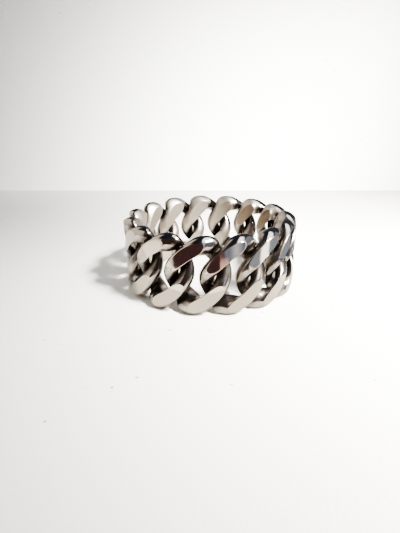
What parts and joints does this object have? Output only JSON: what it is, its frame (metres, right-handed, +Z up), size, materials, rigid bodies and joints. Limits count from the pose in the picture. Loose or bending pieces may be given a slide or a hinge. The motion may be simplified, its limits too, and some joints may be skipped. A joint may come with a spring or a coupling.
{
  "type": "curb chain finger ring",
  "caption": "Wide finger ring made of heavy woven curb chain links, filed smooth outside and inside, lying on its side.",
  "frame": {"origin": "centre of the ring, on the plane that it rests on", "axes": "+Z up along the finger hole, -Y towards the front of the pictured view, +X to its right"},
  "size_m": [0.0234, 0.0234, 0.0099],
  "materials": {
    "silver": "polished sterling silver, oxidised dark between the links"
  },
  "bodies": {
    "root": {"link_01": "silver", "link_02": "silver", "link_03": "silver", "link_04": "silver", "link_05": "silver", "link_06": "silver", "link_07": "silver", "link_08": "silver", "link_09": "silver", "link_10": "silver", "link_11": "silver", "link_12": "silver", "link_13": "silver", "link_14": "silver", "link_15": "silver"}
  },
  "joints": []
}
